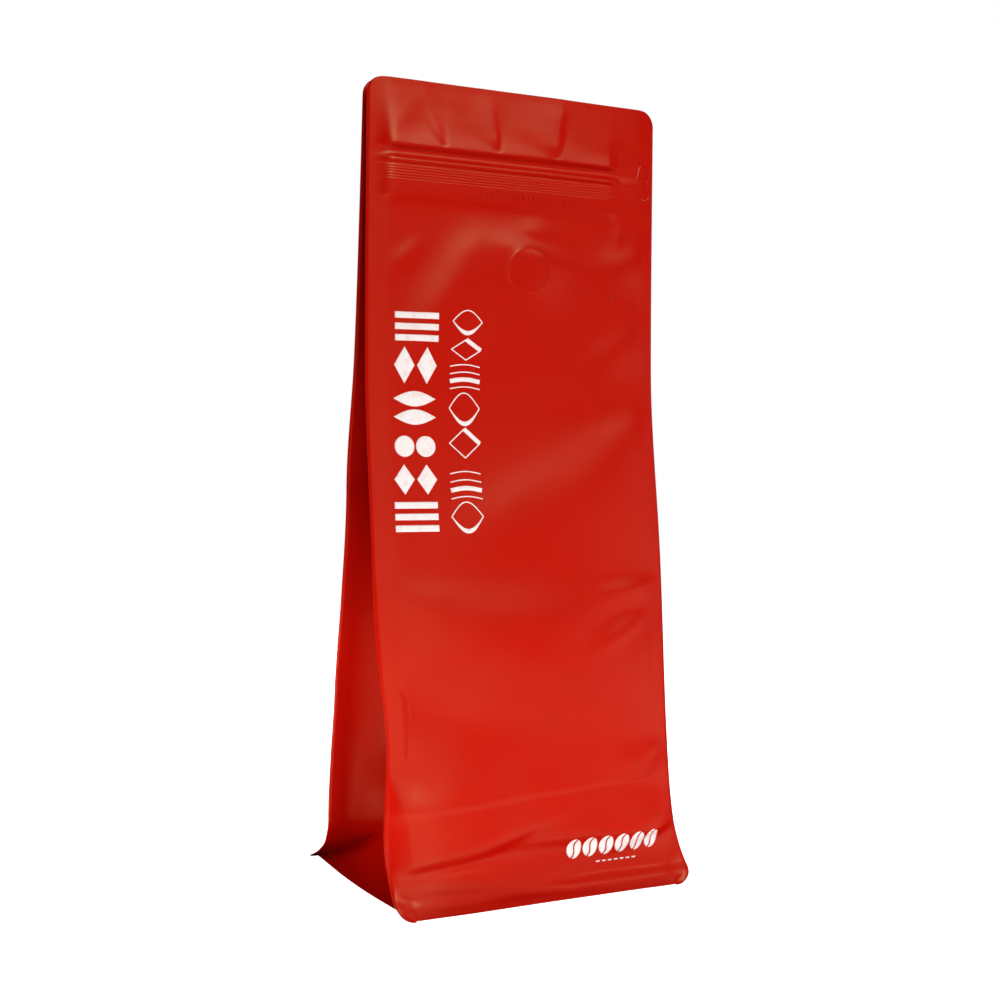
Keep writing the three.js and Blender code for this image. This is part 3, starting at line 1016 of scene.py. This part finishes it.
def painted_cut_shade():
    """Painted shade for the inside of a prick or a cut in the film: a dark colour stands for the little light
    that comes out of the hole.

    Ink on its torn walls shows in specks of about 1 mm.
    """
    material, tree = new_material("painted shade inside cuts")
    if tree is None:
        return material
    place = node(tree, "ShaderNodeTexCoord")
    colours = bpy.context.scene.pouch_colours
    fray = node(tree, "ShaderNodeTexNoise", [("Vector", place, "Object"), ("Scale", 900.0)])
    share = node(tree, "ShaderNodeMapRange", [("Value", fray, "Fac"), ("To Max", 0.5)])
    colour = node(
        tree,
        "ShaderNodeMix",
        [("Factor", share, "Result"), ("A", colours.cut), ("B", colours.ink)],
        data_type="RGBA",
    )
    shader = node(tree, "ShaderNodeBsdfPrincipled", [("Base Color", colour, "Result"), ("Roughness", 0.8)])
    node(tree, "ShaderNodeOutputMaterial", [("Surface", shader, "BSDF")])
    return material


def stage_material(name, colour, glow):
    """Matt white paint on a seamless sweep, lit so evenly that it shows no shade of its own."""
    material, tree = new_material(name)
    if tree is None:
        return material
    shader = node(
        tree,
        "ShaderNodeBsdfPrincipled",
        [("Base Color", colour), ("Roughness", 0.9), ("Emission Color", colour), ("Emission Strength", glow)],
    )
    node(tree, "ShaderNodeOutputMaterial", [("Surface", shader, "BSDF")])
    return material


# ---------------------------------------------------------------- what a user can change


class PouchSizes(bpy.types.PropertyGroup):
    """Sizes of the pouch's details."""

    film: FloatProperty(
        name="Film",
        description="Thickness of one laminate",
        default=0.0002,
        min=0.00005,
        max=0.0005,
        precision=5,
        subtype="DISTANCE",
        unit="LENGTH",
    )
    slack: FloatProperty(
        name="Slack",
        description="How deep the loose folds of the films are, 1 being as photographed",
        default=1.0,
        min=0.0,
        max=2.0,
        subtype="FACTOR",
    )
    valve: FloatProperty(
        name="Valve",
        description="Radius of the valve's welded rim",
        default=0.01,
        min=0.006,
        max=0.012,
        precision=4,
        subtype="DISTANCE",
        unit="LENGTH",
    )


def colour_property(name, description, hex_colour):
    return FloatVectorProperty(
        name=name, description=description, subtype="COLOR", size=4, min=0, max=1, default=srgb(hex_colour)
    )


class PouchColours(bpy.types.PropertyGroup):
    """Colours of the pouch and of the studio."""

    ink: colour_property("Ink", "The print that covers the film", "#C20A01")
    ink_deep: colour_property("Deep ink", "The print where the ink lies thicker", "#C00901")
    white: colour_property("White", "The white print", "#FFF3F0")
    white_thin: colour_property("Thin white", "The white print where the red shows through", "#FAE2DC")
    # Cut: painted shade, a dark colour that stands for the shade inside the vents' pits and the tear's slit
    cut: colour_property("Cut", "The inside of a prick or cut", "#3A0500")
    core: colour_property("Core", "The laminate's unprinted core at a cut edge", "#E8CFC8")
    floor: colour_property("Floor", "The studio's floor and backdrop", "#FAFAFA")


# ---------------------------------------------------------------- operators


class POUCH_OT_faces(bpy.types.Operator):
    """Make the front and back films"""

    bl_idname = "pouch.faces"
    bl_label = "Front and back films"

    def execute(self, context):
        z = rows()
        left, back_left, right = seams(z)
        film_sheet("front_film", face_grid(left, right, z, front_film, FACE_STEPS), rim=cut_edge())
        film_sheet("back_film", face_grid(back_left, right, z, back_film, BACK_STEPS), flip=True)
        return {"FINISHED"}


class POUCH_OT_gussets(bpy.types.Operator):
    """Make the folded gussets of the two sides"""

    bl_idname = "pouch.gussets"
    bl_label = "Side gussets"

    def execute(self, context):
        z = rows()
        film_sheet("left_gusset", gusset_grid(-1, z), flip=True)
        film_sheet("right_gusset", gusset_grid(1, z))
        return {"FINISHED"}


class POUCH_OT_base(bpy.types.Operator):
    """Make the base film"""

    bl_idname = "pouch.base"
    bl_label = "Base film"

    def execute(self, context):
        film_sheet("base_film", base_grid(), flip=True)
        return {"FINISHED"}


class POUCH_OT_print(bpy.types.Operator):
    """Print the white shapes on the front film"""

    bl_idname = "pouch.print"
    bl_label = "White print"

    def execute(self, context):
        bold = column(BOLD_CELLS, bold_shapes, BOLD_LEFT, BOLD_WIDTH, BOLD_LEAN)
        fine = column(FINE_CELLS, fine_shapes, FINE_LEFT, FINE_WIDTH, FINE_LEAN)
        for name, outlines in (("bold_print", bold), ("fine_print", fine), ("seed_print", seed_row())):
            laid_on(name, outlines, PRINT_LIFT, PRINT_THICKNESS, white_ink())
        return {"FINISHED"}


class POUCH_OT_valve(bpy.types.Operator):
    """Raise the film over the valve's rim and prick the vents"""

    bl_idname = "pouch.valve"
    bl_label = "Valve and vents"

    def execute(self, context):
        mesh_piece("valve_patch", *valve_patch(), matt_film())
        points, faces, pit_shade_faces = vent_points()
        vents = mesh_piece("vents", points, faces, matt_film(), painted_cut_shade())
        # The pits' faces take the painted shade
        vents.data.polygons.foreach_set("material_index", pit_shade_faces)
        return {"FINISHED"}


class POUCH_OT_zip_marks(bpy.types.Operator):
    """Press the ticks beneath the zip's ribs and cut the start of the tear"""

    bl_idname = "pouch.zip_marks"
    bl_label = "Zip ticks and tear cut"

    def execute(self, context):
        at = [TICK_LEFT + i * TICK_PITCH for i in range(TICKS)]
        ticks = [bar((x, TICK_FOOT), (x, TICK_TOP), TICK_WIDE) for x in at]
        laid_on("zip_ticks", ticks, TICK_LIFT, TICK_LIFT, matt_film())
        grid = lip_points()
        height, width = grid.shape[:2]
        materials = (matt_film(), painted_cut_shade(), cut_edge())
        lip = mesh_piece("tear_cut", grid.reshape(-1, 3), grid_faces(height, width), *materials)
        # The slit's strip takes the painted shade; the strip beside it shows the laminate's pale core
        strips = np.zeros(width - 1, int)
        strips[SLIT_SHADE_STRIP], strips[CUT_PALE] = 1, 2
        lip.data.polygons.foreach_set("material_index", np.tile(strips, height - 1).tolist())
        return {"FINISHED"}


class POUCH_OT_stage(bpy.types.Operator):
    """Make the floor, backdrop, lights and camera"""

    bl_idname = "pouch.stage"
    bl_label = "Studio"

    def execute(self, context):
        scene = context.scene
        colours = scene.pouch_colours
        mesh = bpy.data.meshes.new("floor")
        corners = [(x * FLOOR_HALF, y * FLOOR_HALF, 0) for x, y in ((-1, -1), (1, -1), (1, 1), (-1, 1))]
        mesh.from_pydata(corners, [], [(0, 1, 2, 3)])
        mesh.materials.append(stage_material("white studio floor", colours.floor, FLOOR_GLOW))
        floor = bpy.data.objects.new("floor", mesh)
        # The boards laid on the floor light the pouch in its place
        floor.visible_diffuse = floor.visible_glossy = False
        scene.collection.objects.link(floor)

        world = bpy.data.worlds.new("white studio")
        world.use_nodes = True
        tree = world.node_tree
        tree.nodes.clear()
        # Only the camera sees the white backdrop; the soft boxes alone light the pouch
        rays = node(tree, "ShaderNodeLightPath")
        white = [("Color", (1, 1, 1, 1)), ("Strength", rays, "Is Camera Ray")]
        sky = node(tree, "ShaderNodeBackground", white)
        node(tree, "ShaderNodeOutputWorld", [("Surface", sky, "Background")])
        scene.world = world
        scene.view_settings.view_transform = "Standard"

        for name, place, aim, size, power, in_sheen in LIGHTS:
            lamp = bpy.data.lights.new(name, "AREA")
            lamp.shape = "RECTANGLE"
            lamp.size, lamp.size_y = size
            lamp.energy = power
            light = bpy.data.objects.new(name, lamp)
            light.location = place
            towards = np.array(aim) - np.array(place)
            light.rotation_euler = Vector(towards).to_track_quat("-Z", "Y").to_euler()
            light.visible_camera = False
            light.visible_glossy = in_sheen
            scene.collection.objects.link(light)

        lens = bpy.data.cameras.new("camera")
        lens.lens, lens.sensor_width, lens.shift_y = CAMERA_LENS, CAMERA_SENSOR, CAMERA_SHIFT
        camera = bpy.data.objects.new("camera", lens)
        camera.location = (CAMERA_PLACE + ORIGIN) * MM
        camera.rotation_euler = (math.radians(90), 0, -math.radians(CAMERA_YAW))
        scene.collection.objects.link(camera)
        scene.camera = camera
        return {"FINISHED"}


class POUCH_PT_parts(bpy.types.Panel):
    """Lists the pouch's sizes, colours and parts"""

    bl_idname = "POUCH_PT_parts"
    bl_label = "Pouch"
    bl_space_type = "VIEW_3D"
    bl_region_type = "UI"
    bl_category = "Pouch"

    def draw(self, context):
        for group in (context.scene.pouch_sizes, context.scene.pouch_colours):
            box = self.layout.box()
            for key in group.__annotations__:
                box.prop(group, key)
        for operator in OPERATORS:
            self.layout.operator(operator.bl_idname)


OPERATORS = (
    POUCH_OT_faces,
    POUCH_OT_gussets,
    POUCH_OT_base,
    POUCH_OT_print,
    POUCH_OT_valve,
    POUCH_OT_zip_marks,
    POUCH_OT_stage,
)
CLASSES = (PouchSizes, PouchColours, *OPERATORS, POUCH_PT_parts)


def register():
    for cls in CLASSES:
        bpy.utils.register_class(cls)
    bpy.types.Scene.pouch_sizes = PointerProperty(type=PouchSizes)
    bpy.types.Scene.pouch_colours = PointerProperty(type=PouchColours)


def unregister():
    del bpy.types.Scene.pouch_colours
    del bpy.types.Scene.pouch_sizes
    for cls in reversed(CLASSES):
        bpy.utils.unregister_class(cls)


def main():
    register()
    bpy.ops.pouch.faces()
    bpy.ops.pouch.gussets()
    bpy.ops.pouch.base()
    bpy.ops.pouch.print()
    bpy.ops.pouch.valve()
    bpy.ops.pouch.zip_marks()
    bpy.ops.pouch.stage()


if __name__ == "__main__":
    main()
